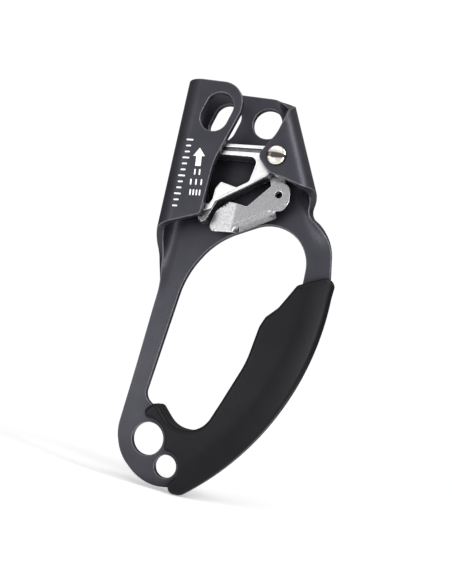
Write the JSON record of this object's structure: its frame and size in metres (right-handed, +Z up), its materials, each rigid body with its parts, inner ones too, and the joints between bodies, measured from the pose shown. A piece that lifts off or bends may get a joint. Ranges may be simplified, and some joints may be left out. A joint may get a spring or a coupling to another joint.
{
  "type": "rope ascender",
  "caption": "Handled rope clamp for climbing: bent plate frame with eyes, moulded grip, sprung toothed cam and a safety lever.",
  "frame": {"origin": "on the front face of the back plate, 14 mm straight below the centre of the large lower eye", "axes": "+Z up along the rope channel, +X right seen from the cam side, -Y towards the user's side with the cam and flaps"},
  "size_m": [0.0914, 0.0287, 0.202],
  "materials": {
    "anodised_aluminium": "satin black anodising",
    "grip_rubber": "matte, finely grained",
    "chromed_steel": "polished chrome",
    "nickelled_steel": "polished nickel",
    "blasted_steel": "fine blasted satin",
    "spring_steel": "drawn wire"
  },
  "bodies": {
    "frame_body": {"frame": "anodised_aluminium", "grip": "grip_rubber", "cam_axle": "nickelled_steel", "axle_sleeve": "nickelled_steel", "rivet_washer": "nickelled_steel", "cam_spring": "spring_steel"},
    "cam_body": {"cam": "chromed_steel", "lever_pin": "nickelled_steel", "lever_spring": "spring_steel"},
    "lever_body": {"safety_lever": "blasted_steel"}
  },
  "joints": [
    {"name": "cam_pivot", "type": "hinge", "parent": "frame_body", "child": "cam_body", "pos_m": [0.038, -0.00665, 0.1601], "axis": [0, -1, 0], "range_deg": [0, 20], "deforming": ["cam_spring"]},
    {"name": "lever_pivot", "type": "hinge", "parent": "cam_body", "child": "lever_body", "pos_m": [0.0416, -0.00665, 0.1428], "axis": [0, -1, 0], "range_deg": [0, 15], "deforming": ["lever_spring"]}
  ]
}
